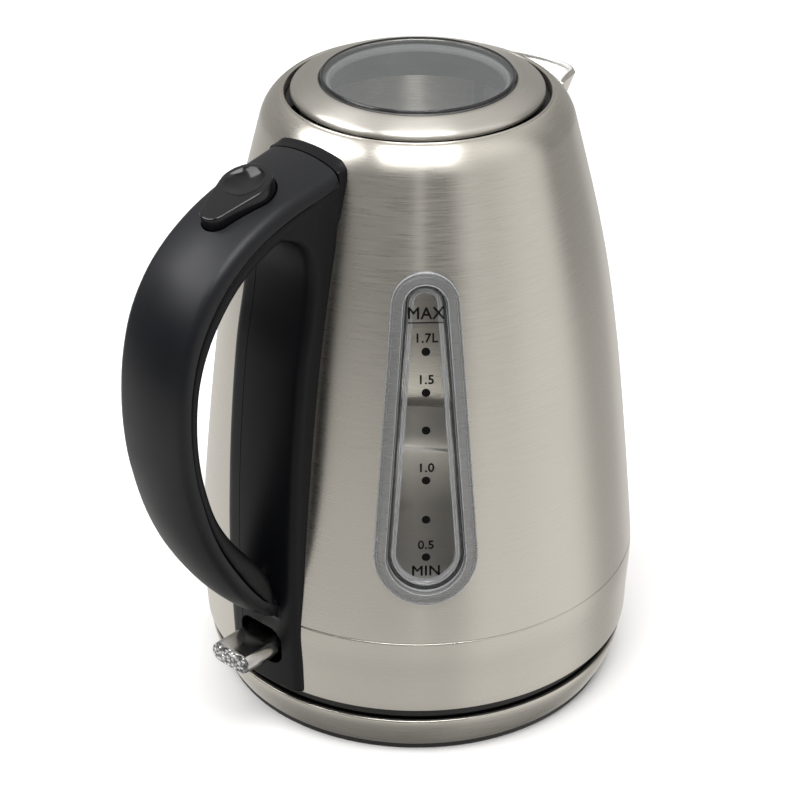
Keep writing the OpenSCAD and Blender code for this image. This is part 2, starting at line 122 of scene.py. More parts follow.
SIDE = ((80, SEAM_Z), (70.6, 156), (66.4, 168), (54.2, 215.5))
SHOULDER = ((54.2, 215.5), (53, 219.9), (50, 223.4), (46.7, RIM_Z))
shell_curve = [bezier(SIDE, i / 70) for i in range(70)] + [bezier(SHOULDER, i / 16) for i in range(17)]
band_curve = smooth([(78.9, BAND_LOW_Z), (79.4, 33.5), (80, 44), (80, 50.6)], 6)
radius_table = [(z, r) for r, z in band_curve[:-1] + shell_curve]


def shell_r(z):
    return follow(radius_table, z)


# ---------------------------------------------------------------- meshes


def soften(obj, sharp=35):
    """Smooth shading, with edges over that many degrees kept sharp."""
    bm = bmesh.new()
    bm.from_mesh(obj.data)
    bmesh.ops.remove_doubles(bm, verts=bm.verts, dist=1e-7)
    bmesh.ops.dissolve_degenerate(bm, edges=bm.edges, dist=1e-7)
    bmesh.ops.recalc_face_normals(bm, faces=bm.faces)
    bm.to_mesh(obj.data)
    bm.free()
    obj.data.shade_smooth()
    obj.data.set_sharp_from_angle(angle=math.radians(sharp))
    return obj


def make(name, points, faces, sharp=35):
    mesh = bpy.data.meshes.new(name)
    mesh.from_pydata([tuple(c * MM for c in p) for p in points], [], faces)
    obj = bpy.data.objects.new(name, mesh)
    bpy.context.scene.collection.objects.link(obj)
    return soften(obj, sharp)


def bake_modifiers(obj, sharp=35):
    """Turns an object's modifiers into plain mesh."""
    graph = bpy.context.evaluated_depsgraph_get()
    mesh = bpy.data.meshes.new_from_object(obj.evaluated_get(graph))
    obj.modifiers.clear()
    obj.data = mesh
    return soften(obj, sharp)


def join(name, parts):
    """One object of several, which are used up."""
    bm = bmesh.new()
    for part in parts:
        bm.from_mesh(part.data)
    mesh = bpy.data.meshes.new(name)
    bm.to_mesh(mesh)
    bm.free()
    for part in parts:
        bpy.data.objects.remove(part)
    obj = bpy.data.objects.new(name, mesh)
    bpy.context.scene.collection.objects.link(obj)
    return obj


def cut(obj, cutters, sharp=35):
    """Takes the cutters away from obj."""
    for tool in cutters:
        modifier = obj.modifiers.new("cut", "BOOLEAN")
        modifier.operation = "DIFFERENCE"
        modifier.solver = "MANIFOLD"
        modifier.object = tool
    bake_modifiers(obj, sharp)
    for tool in cutters:
        bpy.data.objects.remove(tool)
    return obj


def loft(name, loops, closed=False, sharp=35):
    """A skin through loops of equal length. Unless it is closed end to end, its ends are capped."""
    n, m = len(loops), len(loops[0])
    points = [p for loop in loops for p in loop]
    faces = []
    for i in range(n if closed else n - 1):
        for j in range(m):
            k, a, b = (j + 1) % m, i * m, (i + 1) % n * m
            faces.append((a + j, a + k, b + k, b + j))
    if not closed:
        faces += [tuple(range(m))[::-1], tuple(range((n - 1) * m, n * m))]
    return make(name, points, faces, sharp)


def lathe(name, outline, steps=224, sharp=35):
    """A solid of revolution about Z from a closed outline of (radius, height)."""
    loops = [[(r * c, r * s, z) for r, z in outline] for c, s in circle(1, steps)]
    return loft(name, loops, closed=True, sharp=sharp)


def prism(name, outline, place, low, high):
    """An outline of (u, v) drawn out from low to high; place(u, v, w) says where a point goes."""
    return loft(name, [[place(u, v, w) for u, v in outline] for w in (low, high)])


def slab(name, outline, low_y, high_y):
    """A prism across the handle, from an outline of (back, height)."""
    return prism(name, outline, lambda back, z, y: (-back, y, z), low_y, high_y)


def block(name, low, high):
    (x0, y0, z0), (x1, y1, z1) = low, high
    return prism(name, [(x0, y0), (x1, y0), (x1, y1), (x0, y1)], lambda x, y, z: (x, y, z), z0, z1)


# ---------------------------------------------------------------- materials


class Finish:
    """A node material round one Principled shader."""

    def __init__(self, name, colour, rough, metallic=0.0, **sockets):
        self.material = bpy.data.materials.new(name)
        self.material.use_nodes = True
        self.tree = self.material.node_tree
        self.shader = self.tree.nodes["Principled BSDF"]
        self.colour = colour
        self.set(self.shader, "Base Color", (*colour, 1))
        self.set(self.shader, "Roughness", rough)
        self.set(self.shader, "Metallic", metallic)
        for key, value in sockets.items():
            self.set(self.shader, key.replace("_", " "), value)

    @staticmethod
    def set(node, socket, value):
        node.inputs[socket].default_value = value

    def node(self, kind, *links, **values):
        """A node whose inputs come, in order, from links; values set its properties or sockets."""
        node = self.tree.nodes.new("ShaderNode" + kind)
        for key, value in values.items():
            if hasattr(node, key):
                setattr(node, key, value)
            else:
                self.set(node, key.replace("_", " "), value)
        for i, link in enumerate(links):
            if link is None:
                continue
            if isinstance(link, (int, float)):
                node.inputs[i].default_value = link
            else:
                self.tree.links.new(link, node.inputs[i])
        return node

    def math(self, operation, *links):
        return self.node("Math", *links, operation=operation).outputs[0]

    def place(self):
        return self.node("TexCoord").outputs["Object"]

    def turned_place(self, along, across):
        """Coordinates for marks that run round the body's axis: long along a turn, fine across it."""
        axes = self.node("SeparateXYZ", self.place()).outputs
        angle = self.math("ARCTAN2", axes["Y"], axes["X"])
        flat = self.node("CombineXYZ", axes["X"], axes["Y"]).outputs[0]
        reach = self.node("VectorMath", flat, operation="LENGTH").outputs["Value"]
        return self.node("CombineXYZ", self.math("MULTIPLY", angle, along),
                         self.math("MULTIPLY", axes["Z"], across),
                         self.math("MULTIPLY", reach, across)).outputs[0]

    def noise(self, place, scale, detail=2.0, rough=0.5):
        return self.node("TexNoise", place, Scale=scale, Detail=detail, Roughness=rough).outputs[0]

    def span(self, value, low, high, start=0.3, end=0.7):
        """Value from start to end, mapped to low to high."""
        node = self.node("MapRange", value)
        for i, v in enumerate((start, end, low, high)):
            node.inputs[i + 1].default_value = v
        return node.outputs[0]

    def vary_colour(self, value, dark, light):
        """The colour times dark to light, as value goes from 0.3 to 0.7."""
        ramp = self.node("ValToRGB", value)
        for stop, place, gain in zip(ramp.color_ramp.elements, (0.3, 0.7), (dark, light)):
            stop.position = place
            stop.color = (*[min(c * gain, 1) for c in self.colour], 1)
        self.tree.links.new(ramp.outputs[0], self.shader.inputs["Base Color"])

    def vary_rough(self, value, low, high):
        self.tree.links.new(self.span(value, low, high), self.shader.inputs["Roughness"])

    def bump(self, value, strength, height_mm):
        node = self.node("Bump", Strength=strength, Distance=height_mm * MM)
        self.tree.links.new(value, node.inputs["Height"])
        self.tree.links.new(node.outputs[0], self.shader.inputs["Normal"])


def brushed(name, colour, rough, anisotropy=0.82, relief=0.03, lines=2600):
    """Steel brushed round the body's axis."""
    f = Finish(name, colour, rough, 1.0, Anisotropic=anisotropy, Anisotropic_Rotation=0.25)
    tangent = f.node("Tangent", direction_type="RADIAL", axis="Z")
    f.tree.links.new(tangent.outputs[0], f.shader.inputs["Tangent"])
    streaks = f.noise(f.turned_place(5.0, lines), 1.0, 2.0, 0.6)
    clouds = f.noise(f.place(), 22.0, 3.0)
    f.vary_rough(streaks, rough - 0.025, rough + 0.025)
    mixed = f.math("ADD", f.math("MULTIPLY", streaks, 0.7), f.math("MULTIPLY", clouds, 0.3))
    f.vary_colour(mixed, 0.94, 1.06)
    f.bump(streaks, relief, 0.02)
    return f.material


def plastic(name, colour, rough, relief=0.12, grain=2600.0, **sockets):
    """Moulded plastic with a fine grain."""
    f = Finish(name, colour, rough, **sockets)
    grains = f.noise(f.place(), grain, 2.0, 0.6)
    clouds = f.noise(f.place(), 35.0, 3.0)
    f.vary_colour(clouds, 0.85, 1.15)
    f.vary_rough(clouds, rough - 0.04, rough + 0.04)
    f.bump(grains, relief, 0.03)
    return f.material


def metal(name, colour, rough):
    """Plain metal with faint mottling."""
    f = Finish(name, colour, rough, 1.0)
    clouds = f.noise(f.place(), 160.0, 4.0)
    f.vary_colour(clouds, 0.85, 1.1)
    f.vary_rough(clouds, rough - 0.06, rough + 0.08)
    f.bump(f.noise(f.place(), 900.0), 0.1, 0.02)
    return f.material


def clear(name, colour, alpha, rough=0.06, **sockets):
    """A thin clear plastic that lets the light through."""
    f = Finish(name, colour, rough, Alpha=alpha, IOR=1.5, **sockets)
    clouds = f.noise(f.place(), 60.0, 3.0)
    f.vary_colour(clouds, 0.94, 1.04)
    f.vary_rough(clouds, rough, rough + 0.05)
    return f.material


def faceted(name, colour, rough):
    """Cut clear plastic over a bright backing: every facet tips its own way, and its colour holds painted
    glints.
    """
    f = Finish(name, colour, rough, 0.9)
    cells = f.node("TexVoronoi", f.place(), Scale=640.0)
    # Painted glints: bright at each cell's middle and dark at its edge, for the light the facets catch.
    f.vary_colour(cells.outputs["Distance"], 1.1, 0.25)
    f.bump(cells.outputs["Distance"], 1.0, 0.9)
    return f.material


steel = brushed("brushed_steel", (0.62, 0.592, 0.535), 0.29)
steel_lid = brushed("brushed_steel_lid", (0.62, 0.597, 0.55), 0.34)
# Near-white, rougher steel for the spout's inside: painted light, standing in for its brightly lit inside.
spout_lit_steel = metal("spout_painted_light_steel", (0.93, 0.92, 0.9), 0.62)
steel_inside = brushed("inner_steel", (0.66, 0.65, 0.62), 0.34, 0.8, 0.1, 1100)
satin_black = plastic("satin_black", (0.0045, 0.005, 0.0068), 0.4, Specular_IOR_Level=0.3)
# A darker, less shiny copy of the handle plastic for its moulding: painted shade on the spine, the handle's
# underside and the cap.
moulding_shaded_black = plastic("moulding_shaded_black", (0.003, 0.0032, 0.0042), 0.4, Specular_IOR_Level=0.18)
deep_black = plastic("deep_black", (0.005, 0.005, 0.0055), 0.5)
gloss_black = plastic("gloss_black", (0.003, 0.0032, 0.004), 0.15, 0.02, Specular_IOR_Level=0.36)
plating = metal("lever_plating", (0.52, 0.51, 0.49), 0.17)
plain_steel = metal("plain_steel", (0.6, 0.6, 0.6), 0.28)
brass = metal("brass", (0.72, 0.52, 0.22), 0.3)
aluminium = metal("cast_aluminium", (0.62, 0.62, 0.62), 0.5)
rubber = plastic("black_rubber", (0.02, 0.02, 0.02), 0.75, 0.3, 1200)
pale_plastic = plastic("pale_plastic", (0.72, 0.7, 0.64), 0.45)
frosted = clear("frosted_rim", (0.17, 0.175, 0.182), 0.55, 0.14)
# Lighter than the rim: its thin rings on the gauge rim are painted highlight lines; the gauge's liner uses it
# too.
clear_edge = clear("clear_edge", (0.46, 0.47, 0.48), 0.6, 0.08)
dark_edge = clear("dark_edge", (0.015, 0.015, 0.017), 0.85, 0.05)
# Near-white ring at the foot of the lid's sleeve: a painted highlight line.
painted_highlight_edge = clear("painted_highlight_edge", (0.9, 0.91, 0.92), 0.8, 0.1)
gauge_clear = clear("gauge_clear", (0.1, 0.1, 0.1), 0.1, 0.04)
window_clear = clear("window_clear", (0.42, 0.435, 0.44), 0.115, 0.04)
sleeve_clear = clear("sleeve_clear", (0.6, 0.6, 0.6), 0.12, 0.08)
lens_clear = faceted("lens_clear", (0.86, 0.86, 0.87), 0.07)
lamp_glow = clear("lamp_plastic", (0.75, 0.3, 0.12), 0.8, 0.3)
ink = plastic("black_ink", (0.002, 0.002, 0.002), 0.6, 0.02, Specular_IOR_Level=0.1)

SLOT_FINISH = {
    "brushed_steel": steel, "plain_steel": plain_steel, "black_moulding": deep_black,
    "handle_plastic": satin_black, "gloss_black": gloss_black, "rubber": rubber,
    "clear_gauge": gauge_clear, "gauge_rim": frosted, "smoke_window": window_clear,
    "clear_lens": lens_clear, "lamp": lamp_glow, "lever_plating": plating, "brass": brass,
    "aluminium": aluminium, "pale_plastic": pale_plastic,
}


def place(piece, body, finish, slot, *nodes):
    """Gives a piece its finish and its body, and hides the CAD nodes it stands for."""
    piece.data.materials.clear()
    piece.data.materials.append(finish)
    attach(piece, body)
    if nodes:
        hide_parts(*nodes)
    return piece


# CAD nodes that stay get the finish of their slot
for entry in frame["record"]["subparts"]:
    cad = frame["nodes"][entry["node"]]
    cad.data.materials.clear()
    cad.data.materials.append(SLOT_FINISH[entry["material_slot"]])

# ---------------------------------------------------------------- gauge


def gauge_point(across, z, lift):
    """A point lift outside the steel, across from the gauge's centre line."""
    reach = math.sqrt((shell_r(z) + lift) ** 2 - across ** 2)
    c, s = math.cos(GAUGE_TURN), math.sin(GAUGE_TURN)
    return (reach * c - across * s, reach * s + across * c, z)


def half_drop(grow):
    """Right half of the gauge's outline, grown by that much, from its top to its foot."""
    lean = math.asin((GAUGE_LOW_R - GAUGE_HIGH_R) / (GAUGE_HIGH_Z - GAUGE_LOW_Z))
    top = arc(GAUGE_HIGH_R + grow, math.pi / 2, lean - math.pi / 2, 10, up=GAUGE_HIGH_Z)
    foot = arc(GAUGE_LOW_R + grow, lean, -(math.pi / 2 + lean), 14, up=GAUGE_LOW_Z)
    side = [tuple(p + (q - p) * i / 24 for p, q in zip(top[-1], foot[0])) for i in range(1, 24)]
    return top + side + foot


def drop_loop(grow):
    """The gauge's whole outline, grown by that much."""
    half = half_drop(grow)
    return half + [(-w, z) for w, z in reversed(half[1:-1])]


def drop_loops(section):
    """The outline on the steel, once for each (outward, lift) of a section."""
    return [[gauge_point(w, z, lift) for w, z in drop_loop(grow)] for grow, lift in section]


def drop_ring(name, section):
    """A ring round the gauge from a closed section of (outward, lift)."""
    return loft(name, drop_loops(section), closed=True, sharp=40)


def drop_plate(name, section, columns=12):
    """A plate in the gauge: its edge follows a section of (outward, lift), and both faces are filled."""
    loops = drop_loops(section)
    m = len(loops[0])
    points = [p for loop in loops for p in loop]
    faces = []
    for i in range(len(loops) - 1):
        for j in range(m):
            k = (j + 1) % m
            faces.append((i * m + j, i * m + k, (i + 1) * m + k, (i + 1) * m + j))
    for base, (grow, lift) in ((0, section[0]), ((len(loops) - 1) * m, section[-1])):
        half = half_drop(grow)
        rows = [[base]]
        for i in range(1, len(half) - 1):
            w, z = half[i]
            inner = len(points)
            points += [gauge_point(w * (1 - 2 * c / columns), z, lift) for c in range(1, columns)]
            rows.append([base + i] + list(range(inner, inner + columns - 1)) + [base + m - i])
        rows.append([base + len(half) - 1])
        for a, b in zip(rows, rows[1:]):
            if len(a) == 1:
                faces += [(a[0], b[c], b[c + 1]) for c in range(columns)]
            elif len(b) == 1:
                faces += [(a[c], b[0], a[c + 1]) for c in range(columns)]
            else:
                faces += [(a[c], b[c], b[c + 1], a[c + 1]) for c in range(columns)]
    return make(name, points, faces, 30)


def radial_prism(outline, near, far):
    """A cutter that runs out along the gauge's own direction."""
    c, s = math.cos(GAUGE_TURN), math.sin(GAUGE_TURN)
    return prism("tool", outline, lambda w, z, r: (r * c - w * s, r * s + w * c, z), near, far)


# ---------------------------------------------------------------- steel body

SPOUT_ROOT = (46.0, 25.4)        # where the spout's rim meets the body, seen from above
RIM_AT_AXIS, RIM_SLOPE = 233.0, 0.27         # the rim's plane falls towards the tip
ROOT_LOW_Z, ROOT_RISE = 188.0, 32.1          # the wall's root, from its lowest point up to the rim
HOLE_LOW_Z, HOLE_HIGH_Z = 198, 217           # the opening in the shell, inside the spout
HOLE_WIDTH_SHARE, HOLE_RISE_SHARE = 0.86, 0.72         # its size against that of the wall's root
LIP_R = 0.85                     # the bead along the spout's rim
# Boxes cut for the latch bar and the switch lever, as their lowest and highest corners
LATCH_SLOT = (-62, -4.2, 208.2), (-48, 4.2, 211.8)
LEVER_OPENING = (-90, -13.4, 28.5), (-60, 13.4, 49.2)
STUD_R, STUD_AT_R = 3.6, 62      # the posts under the vessel's floor
CORD_HOLE_R, CORD_HOLE_Z = 5, 8.4            # the base ring's hole for the cord gland

spout_plan = smooth([(73.4, 0), (72.8, 4.6), (70.8, 9.2), (67, 13.4), (61, 16.9), (53.4, 21.2),
                     SPOUT_ROOT], 5)
spout_plan = [(x, -y) for x, y in reversed(spout_plan[1:])] + spout_plan


def spout_rim(i):
    """Point i along the spout's rim."""
    x, y = spout_plan[i]
    return Vector((x, y, RIM_AT_AXIS - RIM_SLOPE * x))


def spout_root(i):
    """Where the spout's wall meets the body under rim point i."""
    s = abs(2 * i / (len(spout_plan) - 1) - 1)
    side = 1 if i * 2 > len(spout_plan) - 1 else -1
    z = ROOT_LOW_Z + ROOT_RISE * s ** 1.7
    turn = side * s * math.atan2(SPOUT_ROOT[1], SPOUT_ROOT[0])
    r = shell_r(z) - 0.5
    return Vector((r * math.cos(turn), r * math.sin(turn), z))


def spout_wall(i, t):
    """A point of the spout's slightly hollow wall: on the rim at t = 0, on the body at t = 1."""
    rim, root = spout_rim(i), spout_root(i)
    fade = min(1.0, (rim - root).length / 12)
    return rim.lerp(root, t) - Vector((1.3 * fade * math.sin(math.pi * t), 0, 0))


def build_shell():
    inner = [(r - STEEL, z) for r, z in shell_curve if r > OPENING_R + 2 * STEEL + 0.7]
    lip = rounded([(46.7, RIM_Z, 0.9), (OPENING_R, RIM_Z - 0.1, 0.7), (OPENING_R, 219.5, 0.2),
                   (OPENING_R + STEEL, 219.5, 0.2), (OPENING_R + STEEL, 223.4, 0)])[1:]
    foot = [(79.3, 50.95), (79.7, 50.72), (79.95, 50.9)]
    shell = lathe("steel_shell", foot + shell_curve[1:-1] + lip + inner[::-1][:-1], 288, 50)
    roots = [spout_root(i) for i in range(len(spout_plan))]
    hole = [(HOLE_WIDTH_SHARE * p.y, HOLE_LOW_Z + HOLE_RISE_SHARE * (p.z - ROOT_LOW_Z)) for p in roots]
    hole = [(y, z) for y, z in hole if z < HOLE_HIGH_Z]
    cut(shell, [radial_prism(drop_loop(1.1), 40, 95),
                prism("tool", hole, lambda y, z, x: (x, y, z), 40, 80),
                block("tool", *LATCH_SLOT)], 50)
    place(shell, "jug", steel, "brushed_steel", "body_shell")


def build_spout():
    count, rows = len(spout_plan), 14
    points = [spout_wall(i, j / rows) for i in range(count) for j in range(rows + 1)]
    corners = [i * (rows + 1) + j for i in range(count - 1) for j in range(rows)]
    faces = [(k, k + rows + 1, k + rows + 2, k + 1) for k in corners]
    skin = make("spout_steel", points, faces, 50)
    thick = skin.modifiers.new("sheet", "SOLIDIFY")
    thick.thickness = 1.0 * MM
    thick.offset = -1
    thick.use_even_offset = True
    bake_modifiers(skin, 50)
    bead = []
    for i in range(count):
        p = spout_rim(i)
        ahead = (spout_rim(min(i + 1, count - 1)) - spout_rim(max(i - 1, 0))).normalized()
        out = ahead.cross(Vector((0, 0, 1))).normalized()
        up = out.cross(ahead)
        r = LIP_R * min(1, 0.35 + 0.1 * min(i, count - 1 - i))
        bead.append([tuple(p - out * 0.35 + r * (c * out + s * up)) for c, s in circle(1, 12)])
    whole = soften(join("spout_steel", [skin, loft("bead", bead)]), 50)
    # The inside faces take the near-white steel: painted light on the spout's inside.
    inner = [i for i, face in enumerate(whole.data.polygons) if face.normal.xy.dot(face.center.xy) < 0]
    place(whole, "jug", steel, "brushed_steel", "spout")
    whole.data.materials.append(spout_lit_steel)
    for i in inner:
        whole.data.polygons[i].material_index = 1


def build_vessel_floor():
    """The plate over the element, with two pressed steps, brushed in circles."""
    top = [(0.01, 57.0), (39.5, 57.0), (40.6, 57.3), (41.4, 58.2), (42.6, 58.5), (50.6, 58.5), (51.8, 58.3),
           (52.6, 57.5), (54, 57.2), (74.2, 57.2), (75, 56.9)]
    under = [(75, 51.2), (79, 51.2), (79, 50.6), (70, 50.6), (70, 51.2), (74.2, 51.2), (74.2, 56.2),
             (0.01, 56.2)]
    plate = lathe("floor_plate", top + under, 224, 30)
    studs = [prism("stud", circle(STUD_R, 32, x, y), lambda u, v, w: (u, v, w), 30, 56.4)
             for x, y in circle(STUD_AT_R, 3)]
    whole = soften(join("floor_plate", [plate] + studs), 30)
    place(whole, "jug", steel_inside, "plain_steel", "vessel_floor")


def build_bands():
    inner = [(r - STEEL, z) for r, z in band_curve]
    top = [(79.98, 50.35), (79.8, 50.6), (79.3, 50.65)]
    foot = [(78.1, BAND_LOW_Z + 0.1), (78.6, BAND_LOW_Z - 0.02), (78.85, BAND_LOW_Z + 0.15)]
    band = lathe("steel_band", foot + band_curve[1:-1] + top + inner[::-1][1:-1], 288, 50)
    cut(band, [block("tool", *LEVER_OPENING)], 50)
    place(band, "jug", steel, "brushed_steel", "lower_band")
    outer = smooth([(72.9, 2.3), (74.5, 5.2), (76, 8.8), (77.1, 12.4), (77.5, 14.6)], 5)
    top = rounded([(77.5, 14.8, 0), (77.3, 15.5, 0.5), (75.9, 15.5, 0.4), (75.9, 14.4, 0)])[1:]
    inside = [(76, 12.4), (74.9, 8.8), (73.4, 5.4), (72, 3.1), (70.5, 3.1), (70.5, 2.3)]
    ring = lathe("steel_base_ring", outer + top + inside, 288, 40)
    hole = circle(CORD_HOLE_R, 40, up=CORD_HOLE_Z)
    cut(ring, [prism("tool", hole, lambda x, z, y: (x, y, z), 60, 90)], 40)
    place(ring, "power_base", steel, "brushed_steel", "base_trim_ring")


# ---------------------------------------------------------------- gauge pieces

# Generic scale: each word with its size, its shift across and its height, and the heights of the dots
GAUGE_WORDS = [("MAX", 5.6, 0, 170.9), ("1.7L", 4.4, 0.1, 163.0), ("1.5", 4.4, 0, 148.7),
               ("1.0", 4.4, 0, 117.2), ("0.5", 4.4, 0, 88.4), ("MIN", 5.4, 0, 78.2)]
BOLDER = [(-0.1, 0), (0.1, 0), (0, 0.1), (0, -0.1)]        # each word is laid down at these shifts
DOT_HEIGHTS = (159.8, 145.6, 132.2, 114, 99.4, 85.2)
DOT_R = 1.45
MAX_LINE = [(-5.9, 169.3), (5.9, 169.3), (5.9, 169.75), (-5.9, 169.75)]


def text_on_gauge(name, words, size, across, z, lift=0.56):
    """Generic scale lettering, laid on the gauge's window."""
    curve = bpy.data.curves.new(name, "FONT")
    curve.body = words
    curve.size = size
    curve.align_x = "CENTER"
    curve.extrude = 0.03
    curve.space_character = 1.06
    source = bpy.data.objects.new(name, curve)
    bpy.context.scene.collection.objects.link(source)
    graph = bpy.context.evaluated_depsgraph_get()
    mesh = bpy.data.meshes.new_from_object(source.evaluated_get(graph))
    bpy.data.objects.remove(source)
    for v in mesh.vertices:
        x, y, depth = v.co
        v.co = Vector(gauge_point(across + x, z + y, lift + depth)) * MM
    obj = bpy.data.objects.new(name, mesh)
    bpy.context.scene.collection.objects.link(obj)
    return obj


def mark(outline, lift=0.53, thick=0.06):
    """A thin printed mark of any outline on the gauge's window."""
    return prism("mark", outline, lambda u, v, w: gauge_point(u, v, w), lift, lift + thick)


def build_gauge():
    rim = rounded([(0.9, -0.4, 0), (5.35, -0.4, 0), (5.35, 0.9, 0.4), (5.0, 1.5, 0.3), (4.65, 1.5, 0.15),
                   (4.45, 1.15, 0.15), (4.15, 1.15, 0.15), (3.85, 1.6, 0.3), (1.75, 1.8, 0.3),
                   (1.3, 1.4, 0.2), (0.9, 1.3, 0.2)], 4)
    place(drop_ring("gauge_rim", rim), "jug", frosted, "gauge_rim", "gauge_frame")
    # Thin lighter rings along the rim's edges: painted highlight lines.
    lines = []
    for g, w, low, top in ((5.05, 0.26, 0.9, 1.4), (4.2, 0.16, 1.0, 1.3), (1.25, 0.24, 1.3, 1.75),
                           (0.55, 0.2, -0.7, 0.45)):
        section = rounded([(g, low, 0), (g + w, low, 0), (g + w, top, 0.1), (g, top, 0.1)], 2)
        lines.append(drop_ring("line", section))
    place(soften(join("gauge_highlight_lines", lines), 40), "jug", clear_edge, "gauge_rim")
    gasket = rounded([(-0.3, -2.6, 0), (0.95, -2.6, 0), (0.95, -1.0, 0.3), (-0.3, -1.4, 0.3)], 3)
    place(drop_ring("gauge_gasket", gasket), "jug", rubber, "rubber", "gauge_seal")
    pane = [(0.5, -0.8), (0.66, -0.6), (0.7, 0.2), (0.6, 0.42), (0.35, 0.5)]
    place(drop_plate("gauge_pane", pane), "jug", gauge_clear, "clear_gauge", "gauge_window")
    liner = rounded([(-2.5, -3.2, 0.2), (-0.7, -3.2, 0.2), (-0.75, -0.95, 0.35), (-1.2, -0.9, 0.2),
                     (-1.5, -1.5, 0.2), (-1.9, -0.95, 0.2), (-2.4, -1.0, 0.35)], 3)
    place(drop_ring("gauge_liner", liner), "jug", clear_edge, "gauge_rim")
    parts = [text_on_gauge("words", word, size, across + shift, z + rise)
             for word, size, across, z in GAUGE_WORDS for shift, rise in BOLDER]
    parts += [mark(circle(DOT_R, 28, up=z)) for z in DOT_HEIGHTS]
    parts.append(mark(MAX_LINE))
    place(soften(join("gauge_marks", parts), 40), "jug", ink, "black_moulding")


# ---------------------------------------------------------------- handle

# The handle's outside and inside, the back of its spine and the top of its cap, as (back, height)
CROWN = [(55.6, 219.6), (68.4, 217.2), (81.5, 214.2), (95, 209), (106.6, 201.8), (115.7, 193),
         (123, 181.2), (127.6, 165.8), (129.3, 148.8), (128.5, 132.8), (125.8, 118.8), (121.3, 103.7),
         (114.3, 88.2), (104.7, 72.4), (95.2, 61.4), (86, 53.4), (80.5, 49)]
INNER = [(55.6, 203.4), (66.4, 203.2), (77.5, 200.6), (88.6, 196.4), (98.8, 190), (107, 181.6),
         (113.3, 171.7), (117.2, 160.2), (118.6, 146.8), (118, 133.8), (115.6, 121.4), (111.6, 109.2),
         (104.6, 97), (94, 83.5), (87.5, 73.2), (82.3, 58.6), (77, 54)]
SPINE = [(80.8, BAND_LOW_Z), (81.6, 33), (82.3, 50), (82.5, 72), (81.8, 92), (79.6, 121), (75.8, 151),
         (71.9, 169), (70.2, 180), (70.3, 187), (72.2, 193), (76.2, 197.6), (83, 200.8)]
CAP = [(49.5, 222.0), (51, 221.4), (53.2, 220.3), (55.25, 219.75), (57, 219.35)]
# What fills the handle's root under its cap, as (back, height)
CORE = [(46, 196), (66, 196), (66, 211), (55.2, 211), (55.2, 217), (46, 217)]
# Half widths: of the grip and of the handle's foot by distance behind the axis, of the spine by height
GRIP_HALF = [(50, 16.7), (66, 16.6), (100, 16.0), (130, 15.8)]
FOOT_HALF = [(78, 9.2), (82, 9.5), (85, 11.5), (90, 13.4), (98, 14.9), (108, 15.8), (112, 99)]
SPINE_HALF = [(165, 17.2), (190, 16.9), (201, 15.9)]
CORE_HALF = 16.2
FOOT_TOP_Z = 100                 # the foot narrows below this
SPINE_FRONT = 44                 # the spine's hidden side, inside the body
CAP_SAG, CAP_CORNER = 3.2, 5.6   # how far the cap falls to its sides, and the radius of its shoulders
SPLIT_GAP = 0.16                 # half the gap between the handle's shell and its moulding
VOXEL = 0.62                     # size of the voxels that join the moulding's pieces
GROOVE_DEEP, GROOVE_Y = 0.75, (8.9, 9.15)    # the seam down the spine
# Room for the latch bar in the handle's shell and in its moulding, as lowest and highest corners
LATCH_POCKET = (-71, -4.6, 207), (-45, 4.6, 212)
LATCH_CHANNEL = (-80, -4.6, 208), (-40, 4.6, 212)

handle_stations = list(zip(smooth(CROWN, 5), smooth(INNER, 5)))


def crowned(half, low, top, sag, corner, chamfer=0.0):
    """A section as (across, height): flat at low, crowned at top, with round shoulders."""
    edge = half - corner
    slope = math.atan(2 * sag * edge / half ** 2)
    end_y = half - corner * (1 - math.sin(slope))
    end_h = top - sag * (end_y / half) ** 2
    centre_h = end_h - corner * math.cos(slope)
    right = [(half - chamfer, low), (half, low + chamfer)] if chamfer else [(half, low)]
    right += [(half, low + (centre_h - low) * k / 3) for k in (1, 2)]
    right += arc(corner, 0, math.pi / 2 - slope, 8, edge, centre_h)
    right += [(end_y * (1 - k / 7), top - sag * (end_y * (1 - k / 7) / half) ** 2) for k in range(1, 7)]
    return right + [(0, top)] + [(-y, h) for y, h in reversed(right)]


def split_share(back, z):
    """How much of the handle's thickness is above the split line: less at the lid and at the foot."""
    at_lid = 0.17 * math.exp(-max(back - CROWN[0][0], 0) / 2.5)
    at_foot = 0.1 * min(1, max(110 - z, 0) / 40)
    return 0.52 - at_lid - at_foot


def narrow(section, half, back, z):
    """Squeezes a section's width where the foot is narrower."""
    limit = follow(FOOT_HALF, back) if z < FOOT_TOP_Z else half
    share = min(1.0, limit / half)
    return [(y * share, h) for y, h in section]


def handle_loops(stations, upper):
    """Sections down the handle: of the shell above the split line, or of the moulding below it."""
    loops = []
    for crown, inner in stations:
        axis = Vector(crown) - Vector(inner)
        thick = axis.length
        axis.normalize()
        split = thick * (1 - split_share(*crown))
        half = follow(GRIP_HALF, crown[0])
        if upper:
            near_lid = follow([(62, 1.0), (110, 0.0)], crown[0])
            sag, corner = 2.4 + 0.8 * near_lid, 4.0 + 1.6 * near_lid
            section = crowned(half, split + SPLIT_GAP, thick, sag, corner, 0.35)
        else:
            depth = split - SPLIT_GAP
            section = [(y, depth - h) for y, h in crowned(half, 0, depth, 1.2, 3.4)]
        section = narrow(section, half, (crown[0] + inner[0]) / 2, crown[1])
        places = [(Vector(inner) + axis * h, y) for y, h in section]
        loops.append([(-p.x, y, p.y) for p, y in places])
    return loops


def body_cutter(grow):
    """The body's outside as a solid, grown a little."""
    path = [(r + grow, z) for r, z in band_curve[:-1] + shell_curve]
    under = [(0.01, BAND_LOW_Z - 2), (path[0][0], BAND_LOW_Z - 2)]
    return lathe("tool", under + path + [(0.01, RIM_Z + 6)], 288)


